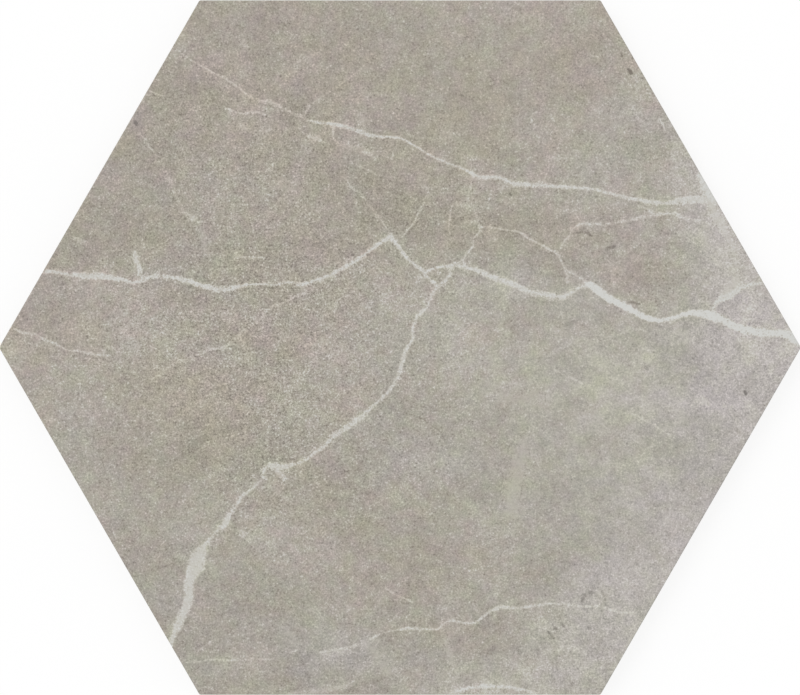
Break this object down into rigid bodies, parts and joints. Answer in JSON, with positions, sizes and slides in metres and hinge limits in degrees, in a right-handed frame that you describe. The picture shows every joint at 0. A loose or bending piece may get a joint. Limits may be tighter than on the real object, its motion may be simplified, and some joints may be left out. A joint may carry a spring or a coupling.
{
  "type": "hexagon floor tile",
  "caption": "Flat hexagonal porcelain floor tile with a matt marble-look face, a fine rounded arris and a back keyed with shallow honeycomb cells.",
  "frame": {"origin": "middle of the bedding plane, the level plane of the rim and ribs on the back, at the bottom centre of the box", "axes": "+Z out of the decorated face, +X from the middle to a corner, +Y from the middle square to a side"},
  "size_m": [0.2676, 0.232, 0.009],
  "materials": {
    "porcelain": "matt glazed face, warm grey with pale marble-look veins, on an unglazed fired body"
  },
  "bodies": {
    "root": {"tile": "porcelain"}
  },
  "joints": []
}
